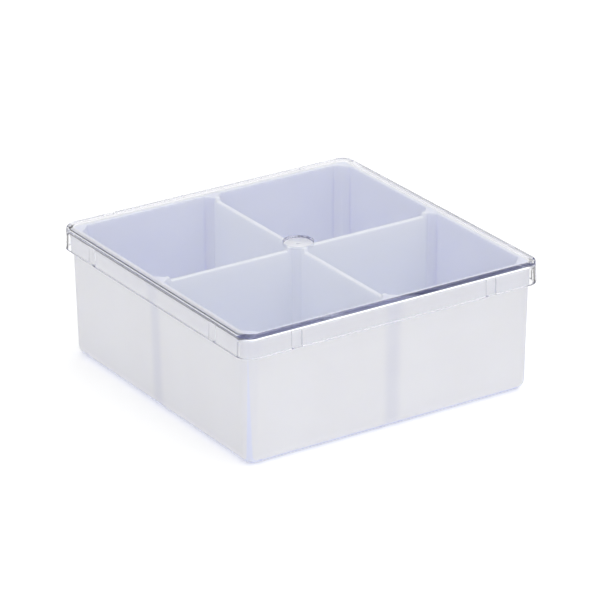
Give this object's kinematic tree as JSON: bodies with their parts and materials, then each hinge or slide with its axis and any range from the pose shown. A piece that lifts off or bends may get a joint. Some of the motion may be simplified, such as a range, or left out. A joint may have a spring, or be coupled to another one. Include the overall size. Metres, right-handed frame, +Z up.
{
  "type": "parts organizer",
  "caption": "Square parts organizer: a frosted plastic tray with equal compartments under a clear lift-off lid held by grip ribs inside its skirt.",
  "frame": {"origin": "on the ground, under the middle of the tray's underside", "axes": "+Z up, the way the lid lifts; X and Y square to the tray's sides"},
  "size_m": [0.1084, 0.1084, 0.044],
  "materials": {
    "tray_plastic": "smooth translucent white polystyrene, satin",
    "lid_plastic": "crystal clear polystyrene, polished"
  },
  "bodies": {
    "tray": {"tray": "tray_plastic"},
    "lid": {"lid": "lid_plastic"}
  },
  "joints": [
    {"name": "lid_lift", "type": "slide", "parent": "tray", "child": "lid", "axis": [0, 0, 1], "range_m": [0, 0.06]}
  ]
}
